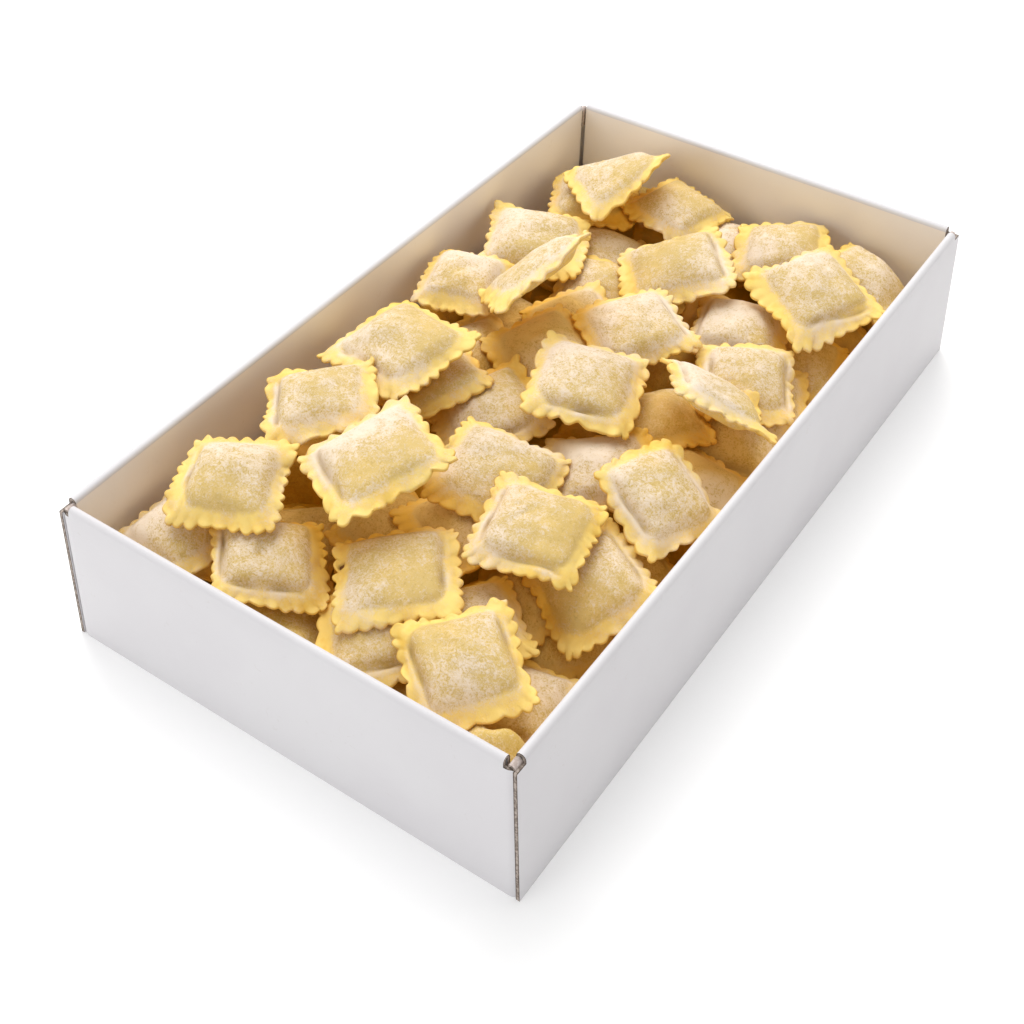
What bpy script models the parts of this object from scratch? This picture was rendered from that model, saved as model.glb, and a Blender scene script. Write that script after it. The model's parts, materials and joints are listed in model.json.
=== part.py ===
"""Ravioli in a folded white carton: square pasta pillows with zigzag rims, heaped as they fell.

The carton is one folded piece. Every raviolo that shows is an object of its own, and the unseen
inside of the heap is one uneven solid under them. X runs across the carton, Y along it, Z up.
"""

import math

import bmesh
import bpy
import numpy as np
from mathutils import Matrix, Quaternion, Vector

MM = 0.001

# Carton, outside
CARTON_LENGTH = 340 * MM
CARTON_WIDTH = 198 * MM
CARTON_HEIGHT = 65.5 * MM
LEAN_IN = 4 * MM  # how far each wall's rim stands inside its foot
WALL = 4.5 * MM  # outer panel, rolled rim and inner panel together
FLOOR = 1.2 * MM
RIM_ROUND = 1.6 * MM
SEAM = 1.6 * MM  # slit down each corner, between the ends of two panels
NOTCH_LENGTH = 5 * MM  # each rolled rim stops this far short of the corner
NOTCH_DEPTH = 2.2 * MM

# Raviolo, for a side of 1
TEETH = 8  # along each side, counting a corner once
TOOTH_DEPTH = 0.050
CORNER_POWER = 7  # of the superellipse that rounds the square's corners
PILLOW_HALF = 0.345  # foot of the filling's pillow
SHOULDER_HALF = 0.235
UNDER_HALF = 0.27
CORNER_CUT = 0.09  # share of a ring's quarter that its cut corner takes
STRETCH = 0.04  # most that one side of the square outgrows the other
OFF_CENTRE = 0.02  # most that the pillow sits off the middle
PUFF = (0.85, 1.12)  # least and most filled, as a share of the pillow's height
# and in metres
RIM_THICKNESS = 2.0 * MM
PILLOW_HEIGHT = 5.8 * MM
UNDER_DEPTH = 3.4 * MM
WARP = 1.0 * MM  # most that a corner of the rim is bent up or down

# Heap
HEAP_TOP = 90 * MM  # nothing lies higher
INSIDE_MOST = 42 * MM  # highest that the heap's unseen inside reaches
GAP = 0.4 * MM
CELL = 1 * MM
SMALLEST_AREA = 1e-12  # a triangle on its edge covers no cell
INSIDE_GRID = (10, 18)

# Where each raviolo lies, from the top of the heap down: its centre across, along and up in
# millimetres, its heading in degrees, its side in millimetres, and its lean with the direction
# that its face turns to, in degrees. The height is the most that it may have.
TOP_LAYER = [
    (53, -134, 52, 50, 43, 12, -70),
    (41, -76, 59, 15, 44, 6, -20),
    (-15, -92, 75, -27, 48, 11, -135),
    (11, -116, 52, 39, 46, 6, -120),
    (15, -2, 61, 20, 48, 8, 5),
    (67, -35, 57, -20, 41, 22, -10),
    (-56, -122, 65, 27, 42, 7, -55),
    (-56, -73, 68, 40, 43, 8, -160),
    (62, 15, 61, 31, 45, 23, 70),
    (60, 102, 58, -30, 48, 10, -40),
    (-49, 123, 61, -41, 45, 22, -165),
    (-30, 29, 75, -36, 49, 28, -175),
    (9, 43, 55, -35, 44, 9, -85),
    (13, -58, 54, 12, 47, 14, -5),
    (-53, -30, 66, -12, 50, 8, -145),
    (-32, -132, 49, 42, 43, 18, 25),
    (63, -74, 43, -30, 43, 25, -100),
    (2, 89, 55, 40, 47, 14, -120),
    (-68, 32, 54, 15, 38, 6, -65),
    (-61, 76, 52, 24, 48, 6, -15),
    (58, 48, 47, 29, 42, 14, -45),
    (68, 138, 47, -6, 42, 25, 25),
    (29, 136, 48, 25, 42, 10, -115),
    (-24, 137, 48, -14, 42, 3, 25),
    (-63, 128, 45, 28, 44, 2, 160),
]
UNDER_LAYER = [
    (-62, -29, 56, 34, 43, 8, -155),
    (-43, -24, 49, 57, 44, 17, -155),
    (-68, -137, 46, -5, 43, 3, -150),
    (-64, -131, 31, 42, 42, 29, 120),
    (-17, -23, 45, 56, 46, 18, -115),
    (37, -25, 45, 37, 43, 5, -105),
    (37, 14, 41, 51, 41, 4, 135),
    (38, 80, 44, 17, 42, 0, -35),
    (-18, 17, 48, -28, 42, 14, -70),
    (-19, 44, 42, 54, 42, 14, -75),
    (-26, 75, 40, 17, 43, 5, -70),
    (-43, 102, 36, 9, 42, 2, -45),
    (-46, 9, 38, -27, 42, 5, -35),
    (-50, 42, 32, -5, 42, 2, -60),
    (10, -75, 42, 69, 43, 5, 25),
    (-14, -85, 33, -4, 42, 2, 25),
    (15, -134, 40, 42, 42, 5, -135),
    (37, -110, 37, 52, 42, 6, -130),
    (40, -83, 29, -13, 42, 4, -130),
    (63, -122, 27, 11, 43, 5, 125),
    (65, -6, 35, -8, 42, 4, -110),
    (65, 30, 32, 9, 42, 11, -80),
    (62, 56, 29, 25, 42, 17, -95),
    (63, 89, 29, 13, 42, 8, -85),
    (59, 121, 24, 47, 42, 3, -85),
    (4, 138, 38, 8, 42, 0, -20),
    (-50, -99, 20, 35, 42, 5, -130),
    (57, -82, 19, 42, 41, 5, -120),
    (58, -42, 18, 61, 42, 4, -90),
]


def new_object(name, mesh, collection, material):
    mesh.materials.append(material)
    made = bpy.data.objects.new(name, mesh)
    collection.objects.link(made)
    return made


def principled(name, colour, roughness):
    material = bpy.data.materials.new(name)
    material.use_nodes = True
    shader = material.node_tree.nodes["Principled BSDF"]
    shader.inputs["Base Color"].default_value = (*colour, 1)
    shader.inputs["Roughness"].default_value = roughness
    shader.inputs["Metallic"].default_value = 0
    return material


# ---------------------------------------------------------------- carton


def tapered_box(low_size, high_size, low, high):
    """A bmesh cube whose bottom and top rectangles differ, centred on the Z axis."""
    shape = bmesh.new()
    bmesh.ops.create_cube(shape, size=1)
    for corner in shape.verts:
        width, length = high_size if corner.co.z > 0 else low_size
        corner.co.x *= width
        corner.co.y *= length
        corner.co.z = high if corner.co.z > 0 else low
    return shape


def wall_inset(height):
    """How far inside its foot the outside of a wall stands at this height."""
    return LEAN_IN * height / CARTON_HEIGHT


def inner_size(height, clearance=0.0):
    """Width and length of the space between the walls at this height."""
    inset = 2 * (wall_inset(height) + WALL + clearance)
    return CARTON_WIDTH - inset, CARTON_LENGTH - inset


def cutter(name, shape, collection):
    mesh = bpy.data.meshes.new(name)
    shape.to_mesh(mesh)
    shape.free()
    made = bpy.data.objects.new(name, mesh)
    collection.objects.link(made)
    made.hide_render = True
    made.display_type = "WIRE"
    return made


def cut(piece, tool):
    modifier = piece.modifiers.new(tool.name, "BOOLEAN")
    modifier.operation = "DIFFERENCE"
    modifier.object = tool


def round_rim(shape):
    top = CARTON_HEIGHT - RIM_ROUND
    edges = [e for e in shape.edges if all(v.co.z > top for v in e.verts)]
    sharp = [e for e in edges if e.calc_face_angle(0) > math.radians(60)]
    bmesh.ops.bevel(
        shape, geom=sharp, offset=RIM_ROUND, segments=2, affect="EDGES", profile=0.5
    )


def carton_shell():
    """Floor and four walls as one bmesh, with the rolled rim rounded."""
    shape = tapered_box(
        (CARTON_WIDTH, CARTON_LENGTH),
        (CARTON_WIDTH - 2 * LEAN_IN, CARTON_LENGTH - 2 * LEAN_IN),
        0,
        CARTON_HEIGHT,
    )
    shape.faces.ensure_lookup_table()
    lid = max(shape.faces, key=lambda face: face.calc_center_median().z)
    bmesh.ops.inset_region(shape, faces=[lid], thickness=WALL, use_even_offset=True)
    pocket = bmesh.ops.extrude_discrete_faces(shape, faces=[lid])["faces"][0]
    width, length = inner_size(FLOOR)
    for corner in pocket.verts:
        corner.co.x = math.copysign(width / 2, corner.co.x)
        corner.co.y = math.copysign(length / 2, corner.co.y)
        corner.co.z = FLOOR
    round_rim(shape)
    bmesh.ops.recalc_face_normals(shape, faces=shape.faces)
    return shape


def corner_cutters(collection):
    """At each corner a slit between the panels, and a notch where both rolled rims stop short."""
    made = []
    for across in (-1, 1):
        for along in (-1, 1):
            foot = Vector((across * CARTON_WIDTH / 2, along * CARTON_LENGTH / 2, 0))
            lean = Vector((-across * LEAN_IN, -along * LEAN_IN, 0))
            seam = tapered_box((SEAM, SEAM), (SEAM, SEAM), 2 * FLOOR, CARTON_HEIGHT + MM)
            for corner in seam.verts:
                corner.co += foot + lean * (corner.co.z / CARTON_HEIGHT)
            made.append(cutter("seam_cutter", seam, collection))
            size = 2 * NOTCH_LENGTH
            notch = tapered_box(
                (size, size), (size, size), CARTON_HEIGHT - NOTCH_DEPTH, CARTON_HEIGHT + MM
            )
            bmesh.ops.translate(notch, verts=notch.verts, vec=foot + lean)
            made.append(cutter("notch_cutter", notch, collection))
    return made


def make_carton(parts, cutters, card):
    mesh = bpy.data.meshes.new("carton")
    shape = carton_shell()
    shape.to_mesh(mesh)
    shape.free()
    carton = new_object("carton", mesh, parts, card)
    for tool in corner_cutters(cutters):
        cut(carton, tool)


# ---------------------------------------------------------------- inside of the heap


def make_inside(parts, filling, heap):
    """The unseen ravioli as one solid, from the carton's floor up to just under the others."""
    across, along = INSIDE_GRID
    shape = bmesh.new()
    bmesh.ops.create_grid(shape, x_segments=across, y_segments=along, size=0.5)
    width, length = inner_size(INSIDE_MOST, 2 * GAP)
    for corner in shape.verts:
        corner.co.x *= width
        corner.co.y *= length
        room = heap.room_near(corner.co.x, corner.co.y, width / across, length / along)
        corner.co.z = min(room - GAP, INSIDE_MOST)
    border = [edge for edge in shape.edges if edge.is_boundary]
    sides = bmesh.ops.extrude_edge_only(shape, edges=border)["geom"]
    for corner in (g for g in sides if isinstance(g, bmesh.types.BMVert)):
        corner.co.z = FLOOR + GAP
    foot = [g for g in sides if isinstance(g, bmesh.types.BMEdge)]
    bmesh.ops.contextual_create(shape, geom=foot)
    bmesh.ops.recalc_face_normals(shape, faces=shape.faces)
    mesh = bpy.data.meshes.new("heap_inside")
    shape.to_mesh(mesh)
    shape.free()
    new_object("heap_inside", mesh, parts, filling)


# ---------------------------------------------------------------- one raviolo


def square_point(turn, half):
    """A point on a square of this half side, at a share of the way round from its first corner."""
    side, along = divmod(turn * 4 % 4, 1)
    point = Vector(((2 * along - 1) * half, -half))
    return Matrix.Rotation(side * math.pi / 2, 2) @ point


def rim_turns():
    """(turn, point) for each tip and notch round a raviolo of side 1."""
    count = 8 * TEETH
    found = []
    for step in range(count):
        turn = step / count
        point = square_point(turn, 0.5)
        power = abs(point.x) ** CORNER_POWER + abs(point.y) ** CORNER_POWER
        reach = 0.5 / power ** (1 / CORNER_POWER)
        if step % 2:
            reach *= 1 - 2 * TOOTH_DEPTH
        found.append((turn, point * reach))
    return found


def ring_turns(half):
    """(turn, point) for a square with cut corners: eight points."""
    found = []
    for side in range(4):
        for along in (CORNER_CUT, 1 - CORNER_CUT):
            turn = (side + along) / 4
            found.append((turn, square_point(turn, half)))
    return found


def loft(shape, outer, inner):
    """Triangles between two closed rings of (turn, vertex), whatever their counts."""
    i = j = 0
    while i < len(outer) or j < len(inner):
        next_outer = outer[(i + 1) % len(outer)][0] + (i + 1) // len(outer)
        next_inner = inner[(j + 1) % len(inner)][0] + (j + 1) // len(inner)
        here, there = outer[i % len(outer)][1], inner[j % len(inner)][1]
        if i < len(outer) and (j == len(inner) or next_outer <= next_inner):
            shape.faces.new((here, outer[(i + 1) % len(outer)][1], there))
            i += 1
        else:
            shape.faces.new((here, inner[(j + 1) % len(inner)][1], there))
            j += 1


def raviolo_shape(side, chance):
    """One raviolo lying flat, its rim at height 0, with its own small unevenness."""
    corner_lift = chance.uniform(-WARP, WARP, 4)
    stretch = chance.uniform(1 - STRETCH, 1 + STRETCH)
    shift = Vector(chance.uniform(-OFF_CENTRE, OFF_CENTRE, 2))
    puff = chance.uniform(*PUFF)

    def bend(point):
        u, v = point.x / side + 0.5, point.y / side + 0.5
        low = corner_lift[0] * (1 - u) + corner_lift[1] * u
        high = corner_lift[3] * (1 - u) + corner_lift[2] * u
        return low * (1 - v) + high * v

    def ring(turns, height, offset=Vector((0, 0))):
        made = []
        for turn, point in turns:
            point = (point + offset) * side
            point = Vector((point.x * stretch, point.y / stretch))
            made.append((turn, shape.verts.new((point.x, point.y, height + bend(point)))))
        return made

    shape = bmesh.new()
    edge = ring(rim_turns(), 0)
    foot = ring(ring_turns(PILLOW_HALF), RIM_THICKNESS / 2, shift)
    shoulder = ring(ring_turns(SHOULDER_HALF), PILLOW_HEIGHT * puff, shift)
    under = ring(ring_turns(UNDER_HALF), -UNDER_DEPTH * puff, shift)
    loft(shape, edge, foot)
    loft(shape, foot, shoulder)
    loft(shape, edge, under)
    shape.faces.new([vertex for _, vertex in shoulder])
    shape.faces.new([vertex for _, vertex in under])
    bmesh.ops.triangulate(shape, faces=shape.faces)
    bmesh.ops.recalc_face_normals(shape, faces=shape.faces)
    return shape


# ---------------------------------------------------------------- the heap


class Heap:
    """Undersides of what has been laid, on a fine grid. The heap is laid from its top down: each
    piece comes up from below until it has its height or touches what lies over it."""

    def __init__(self):
        self.x = np.arange(-CARTON_WIDTH / 2, CARTON_WIDTH / 2, CELL)
        self.y = np.arange(-CARTON_LENGTH / 2, CARTON_LENGTH / 2, CELL)
        self.low = np.full((len(self.x), len(self.y)), HEAP_TOP)

    def surface(self, triangles, sign):
        """The upper (sign 1) or negated lower (sign -1) height of a mesh over each cell."""
        found = np.full(self.low.shape, -np.inf)
        for a, b, c in triangles:
            low = np.minimum(np.minimum(a, b), c)
            high = np.maximum(np.maximum(a, b), c)
            columns = slice(*np.searchsorted(self.x, (low[0], high[0])))
            rows = slice(*np.searchsorted(self.y, (low[1], high[1])))
            ab, ac = b - a, c - a
            area = ab[0] * ac[1] - ab[1] * ac[0]
            if abs(area) < SMALLEST_AREA:
                continue
            dx, dy = self.x[columns, None] - a[0], self.y[None, rows] - a[1]
            to_b = (dx * ac[1] - dy * ac[0]) / area
            to_c = (dy * ab[0] - dx * ab[1]) / area
            height = sign * (a[2] + to_b * ab[2] + to_c * ac[2])
            inside = (to_b >= 0) & (to_c >= 0) & (to_b + to_c <= 1)
            patch = found[columns, rows]
            np.copyto(patch, np.maximum(patch, height), where=inside)
        return found

    def room(self, triangles):
        """How far a mesh may rise before it touches what lies over it."""
        return float(np.min(self.low - self.surface(triangles, 1)))

    def room_near(self, x, y, width, length):
        columns = slice(*np.searchsorted(self.x, (x - width - CELL, x + width + CELL)))
        rows = slice(*np.searchsorted(self.y, (y - length - CELL, y + length + CELL)))
        return float(np.min(self.low[columns, rows]))

    def add(self, triangles):
        """Takes in a mesh's underside, widened by a cell so that steep sides stay covered."""
        wide = np.pad(-self.surface(triangles, -1), 1, constant_values=np.inf)
        columns, rows = self.low.shape
        for i in range(3):
            for j in range(3):
                self.low = np.minimum(self.low, wide[i : i + columns, j : j + rows])


def leaning(heading, slope):
    """Rotation that turns a flat piece to its heading and then tips it to a slope."""
    normal = Vector((-slope[0], -slope[1], 1)).normalized()
    return Vector((0, 0, 1)).rotation_difference(normal) @ Quaternion((0, 0, 1), heading)


def slope_of(lean, facing):
    fall = -math.tan(math.radians(lean))
    return fall * math.cos(math.radians(facing)), fall * math.sin(math.radians(facing))


def placed(points, faces, rotation, place):
    turned = points @ np.array(rotation.to_matrix()).T + np.array(place)
    return turned[faces]


def inside_walls(centre, triangles):
    """The centre, moved as little as keeps the piece clear of the carton's walls."""
    width, length = inner_size(CARTON_HEIGHT, 2 * GAP)
    for axis, size in ((0, width), (1, length)):
        low, high = triangles[..., axis].min(), triangles[..., axis].max()
        centre[axis] += max(0, -size / 2 - low) + min(0, size / 2 - high)
    return centre


def make_raviolo(number, place, parts, pasta, heap):
    across, along, up, heading, side, lean, facing = place
    shape = raviolo_shape(side * MM, np.random.default_rng(number))
    points = np.array([vertex.co for vertex in shape.verts])
    faces = np.array([[vertex.index for vertex in face.verts] for face in shape.faces])
    rotation = leaning(math.radians(heading), slope_of(lean, facing))
    centre = [across * MM, along * MM, 0]
    centre = inside_walls(centre, placed(points, faces, rotation, centre))
    room = heap.room(placed(points, faces, rotation, centre))
    centre[2] = min(up * MM, room - GAP)
    heap.add(placed(points, faces, rotation, centre))
    name = f"raviolo_{number:02d}"
    mesh = bpy.data.meshes.new(name)
    shape.to_mesh(mesh)
    shape.free()
    made = new_object(name, mesh, parts, pasta)
    made.location = centre
    made.rotation_mode = "QUATERNION"
    made.rotation_quaternion = rotation


def main():
    for old in list(bpy.data.objects):
        bpy.data.objects.remove(old)
    parts = bpy.data.collections.new("ravioli_in_carton")
    cutters = bpy.data.collections.new("cutters")
    for collection in (parts, cutters):
        bpy.context.scene.collection.children.link(collection)
    card = principled("white_card", (0.83, 0.82, 0.82), 0.6)
    pasta = principled("egg_pasta", (0.78, 0.60, 0.28), 0.7)
    shade = principled("pasta_in_shade", (0.45, 0.30, 0.10), 0.8)
    make_carton(parts, cutters, card)
    heap = Heap()
    for number, place in enumerate(TOP_LAYER + UNDER_LAYER, start=1):
        make_raviolo(number, place, parts, pasta, heap)
    make_inside(parts, shade, heap)


main()
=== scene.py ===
"""Ravioli in a folded white carton, seen from above one corner on a white studio floor.

Every raviolo lies where its solid in the frame lies: square, crimped all round, puffed over its
filling. They are laid from the bottom of the heap up, so each one bends over what is under it.
"""

import json
import math

import bpy
import numpy as np
from mathutils import Euler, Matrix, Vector

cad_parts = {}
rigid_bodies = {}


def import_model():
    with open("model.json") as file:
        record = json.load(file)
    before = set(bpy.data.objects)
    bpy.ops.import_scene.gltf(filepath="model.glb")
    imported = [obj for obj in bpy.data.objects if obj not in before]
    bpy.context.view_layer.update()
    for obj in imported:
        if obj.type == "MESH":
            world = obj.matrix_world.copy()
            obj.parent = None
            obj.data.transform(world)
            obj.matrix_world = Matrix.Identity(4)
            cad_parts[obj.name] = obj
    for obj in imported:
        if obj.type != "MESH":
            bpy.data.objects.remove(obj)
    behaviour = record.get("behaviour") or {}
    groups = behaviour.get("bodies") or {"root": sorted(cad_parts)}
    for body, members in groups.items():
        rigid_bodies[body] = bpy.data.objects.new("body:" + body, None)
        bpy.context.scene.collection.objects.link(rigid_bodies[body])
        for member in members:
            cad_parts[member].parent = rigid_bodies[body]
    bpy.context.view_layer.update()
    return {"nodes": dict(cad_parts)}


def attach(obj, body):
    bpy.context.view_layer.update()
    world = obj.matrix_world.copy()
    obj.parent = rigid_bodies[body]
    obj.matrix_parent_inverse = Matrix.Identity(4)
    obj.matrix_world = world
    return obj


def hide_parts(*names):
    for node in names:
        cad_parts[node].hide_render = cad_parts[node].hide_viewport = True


MM = 0.001

for old in list(bpy.data.objects):
    bpy.data.objects.remove(old)
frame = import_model()
SCENE = bpy.context.scene

# Carton, outside
LENGTH, WIDTH, HEIGHT = 340 * MM, 198 * MM, 65.5 * MM
LEAN_IN = 4 * MM  # how far each rim stands inside its foot
BOARD = 1.5 * MM  # one layer of corrugated board
WALL = 3.6 * MM  # outer panel, gap and inner panel
NOTCH = 5 * MM  # each rolled rim stops this far short of its corner
BOW = 0.8 * MM  # how far the long walls belly out halfway
CORNER_DROP = 3.2 * MM  # the outer panels end this far below the rims at a corner
LOOP_WIDTH, LOOP_HEIGHT, LOOP_BOARD = 2.8 * MM, 8 * MM, 0.8 * MM  # folded loop at a corner

# Raviolo
CELLS = 64  # of its grid, along each side
TEETH = (6, 8)  # along each side: fewest, most
TOOTH = 0.088  # depth, as a share of the half side
PILLOW = 0.705  # foot of the pillow, as a share of the half side
PILLOW_HEIGHT = 6.2 * MM
UNDER_DEPTH = 3.6 * MM  # how far the filling bulges below
RIM = 1.5 * MM  # thickness of the two crimped sheets
GRAIN = 0.07  # roughness of its surface, in millimetres

# Its solid in the frame
SOLID_RIM = 0.79  # the flat rim starts this far out, as a share of the half side
SOLID_PILLOW = 5.8 * MM  # height of a pillow of usual puff

# Heap
HEAP_CELL = 1 * MM  # of the grid that holds its heights
HEAP_MARGIN = 20  # cells of it round the carton
BOTTOM = 1.4 * MM  # height at which it starts, just above the carton's floor
CLEAR = 0.25 * MM  # left between a raviolo and what it lies on
MOST_LIFT = 4.5 * MM  # no raviolo bends up further than this to clear what is under it
DROOP, DROOP_UNDER = 3.2 * MM, 1.5 * MM  # how far a rim sags into room, on top and in the filling
LEVEL_SPREAD = 150  # rounds of smoothing that give the heap's level
DARKEST_SHADE_DEPTH = 18 * MM  # this far below that level the painted shade on the dough is at its darkest

# The ravioli under those that show
UNDER_CELLS = 24  # of each one's grid, along each side
UNDER_LAYERS = ((4, 7, 9 * MM), (3, 6, 21 * MM), (4, 7, 33 * MM))  # columns, rows, height
UNDER_PITCH = (45 * MM, 47 * MM)  # from one to the next, across the carton and along it
BED_TOP, BED_FOOT = 14 * MM, 1.6 * MM  # heights of the heap's bottom, which is one flat piece


# ---------------------------------------------------------------- small helpers


def smooth(low, high, x):
    t = np.clip((x - low) / (high - low), 0, 1)
    return t * t * (3 - 2 * t)


def blurred(field, times=1):
    """A field on a square grid, averaged with its neighbours."""
    for _ in range(times):
        wide = np.pad(field, 1, mode="edge")
        field = (
            4 * field
            + 2 * (wide[:-2, 1:-1] + wide[2:, 1:-1] + wide[1:-1, :-2] + wide[1:-1, 2:])
            + wide[:-2, :-2] + wide[2:, 2:] + wide[:-2, 2:] + wide[2:, :-2]
        ) / 16
    return field


def widened(field, times=1):
    """A field on a square grid, with each value raised to its neighbours' highest."""
    for _ in range(times):
        wide = np.pad(field, 1, mode="edge")
        rows, columns = field.shape
        field = np.max(
            [wide[i : i + rows, j : j + columns] for i in range(3) for j in range(3)], axis=0
        )
    return field


def mesh_object(name, points, faces, attributes=None, materials=(), which=None):
    """An object at the origin from arrays: points, faces of three or four, point attributes."""
    mesh = bpy.data.meshes.new(name)
    mesh.from_pydata(points.tolist(), [], [list(f) for f in faces])
    for key, values in (attributes or {}).items():
        layer = mesh.attributes.new(key, "FLOAT", "POINT")
        layer.data.foreach_set("value", np.asarray(values, np.float32).ravel())
    for material in materials:
        mesh.materials.append(material)
    if which is not None:
        mesh.polygons.foreach_set("material_index", np.asarray(which, np.int32))
    mesh.polygons.foreach_set("use_smooth", np.full(len(mesh.polygons), True))
    mesh.update()
    made = bpy.data.objects.new(name, mesh)
    SCENE.collection.objects.link(made)
    return made


# ---------------------------------------------------------------- one raviolo, lying flat


def noise_field(u, v, chance, waves, rough):
    """Soft unevenness between about -1 and 1, as a sum of a few plane waves."""
    total = np.zeros_like(u)
    for _ in range(waves):
        turn, phase = chance.uniform(0, 2 * math.pi, 2)
        pace = chance.uniform(0.5, 1) * rough
        total += np.sin(pace * (u * math.cos(turn) + v * math.sin(turn)) + phase)
    return total / math.sqrt(waves)


def grid(cells):
    """Even grid coordinates of a square piece, -1 to 1."""
    line = np.linspace(-1, 1, cells + 1)
    u, v = np.meshgrid(line, line, indexing="ij")
    return u, v


def teeth_along(along, side, drawn_in, chance):
    """How deep each place on a side lies between two teeth, 0 to 1, and its tooth's number."""
    stray = chance.uniform(0.1, 0.6, 4)[side]
    stray *= np.sin(chance.uniform(2, 5) * along + 140 * drawn_in)
    teeth = chance.integers(TEETH[0], TEETH[1] + 1)
    # they stand closer in the middle of a side and widest at its corners
    count = teeth * (1 + along + 0.06 * (along - along**9)) / 2 + stray * (1 - along**2)
    wave = np.cos(math.pi * count)
    scallop = 1 - (wave**2 + 0.01) ** 0.40
    return scallop, np.round(count).astype(int) + 20 * side


def outline(u, v, chance):
    """Moves grid points to a raviolo's outline: rounded corners, sides drawn in a little by the
    filling, and round teeth with tight notches, no two alike.
    Returns the moved points, and how far out each is from 0 in the middle to 1 at the edge."""
    out = np.maximum(np.abs(u), np.abs(v))
    safe = np.maximum(out, 1e-9)
    qu, qv = np.where(out > 0, u / safe, 1), v / safe
    power = chance.uniform(6, 9)
    reach = (np.abs(qu) ** power + np.abs(qv) ** power) ** (-1 / power)
    wide = np.abs(qu) >= np.abs(qv)
    along = np.where(wide, qv, qu)
    side = np.where(wide, np.where(qu > 0, 0, 2), np.where(qv > 0, 1, 3))
    drawn_in = chance.uniform(0.0, 0.065, 4)[side]
    scallop, tooth = teeth_along(along, side, drawn_in, chance)
    depth = chance.uniform(0.6, 1.25, 100)[tooth]
    jut = chance.uniform(-0.030, 0.018, 100)[tooth]
    jut *= smooth(1.0, 0.85, np.abs(along))
    # rows of points crowd towards the cut edge
    outer = np.clip((out - 0.75) / 0.25, 0, 1)
    spaced = np.where(out > 0.75, 0.75 + 0.25 * (1 - (1 - outer) ** 1.6), out)
    fade = smooth(0.74, 1.0, spaced)
    scale = spaced * (1 + (reach - 1) * spaced**2)
    # in or out, square to the side; round a corner both ways
    push = fade * (jut * (1 - scallop) - TOOTH * depth * scallop)
    push -= drawn_in * (1 - along**2) * spaced**3
    push += 0.03 * noise_field(qu, qv, chance, 4, 5) * spaced**3
    turning = push * smooth(0.80, 1.0, np.abs(along))
    x = qu * scale + np.sign(qu) * np.where(wide, push, turning)
    y = qv * scale + np.sign(qv) * np.where(wide, turning, push)
    return x, y, spaced


def creased_sides(place, middle, creases, chance):
    """Where the pillow's foot is crisp, the crest outside it and the groove in it, 0 to 1, on the
    sides that have a crease. Takes the points, and the same points from the pillow's middle."""
    (x, y), (px, py) = place, middle
    crisp, crease, groove = np.zeros_like(x), np.zeros_like(x), np.zeros_like(x)
    for side, strength in creases:
        turn = side * math.pi / 2
        across = px * math.cos(turn) + py * math.sin(turn)
        along = -px * math.sin(turn) + py * math.cos(turn)
        facing = smooth(0.30, 0.70, across) * smooth(1.0, 0.6, np.abs(along))
        crisp = np.maximum(crisp, strength * facing)
        tilt = chance.uniform(-0.06, 0.06)
        line = PILLOW * 1.01 + tilt * along + 0.012 * np.sin(6 * along + 3 * side)
        start, end = chance.uniform(0.55, 0.78, 2)
        run = strength * smooth(end, end - 0.25, along) * smooth(-start, 0.25 - start, along)
        near = (across - line) / 0.05
        broken = 0.65 + 0.35 * noise_field(x, y, chance, 4, 14)
        crease = np.maximum(crease, run * broken * np.exp(-((near - 1.5) ** 2)))
        groove = np.maximum(groove, run * broken * np.exp(-((near / 0.75) ** 2)))
    return crisp, crease, groove


def pressed_dips(px, py, chance):
    """Depth of the dips that handling leaves in a pillow."""
    depth = np.zeros_like(px)
    for _ in range(chance.integers(2, 6)):
        dx, dy = chance.uniform(-0.55, 0.55, 2)
        size = chance.uniform(0.05, 0.2)
        stretch = chance.uniform(0.6, 3.5)
        turn = chance.uniform(0, math.pi)
        a = (px - dx) * math.cos(turn) + (py - dy) * math.sin(turn)
        b = (py - dy) * math.cos(turn) - (px - dx) * math.sin(turn)
        dip = np.exp(-((a / size) ** 2 + (b / (size * stretch)) ** 2))
        depth += chance.uniform(0.3, 1.2) * MM * dip
    return depth


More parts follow.
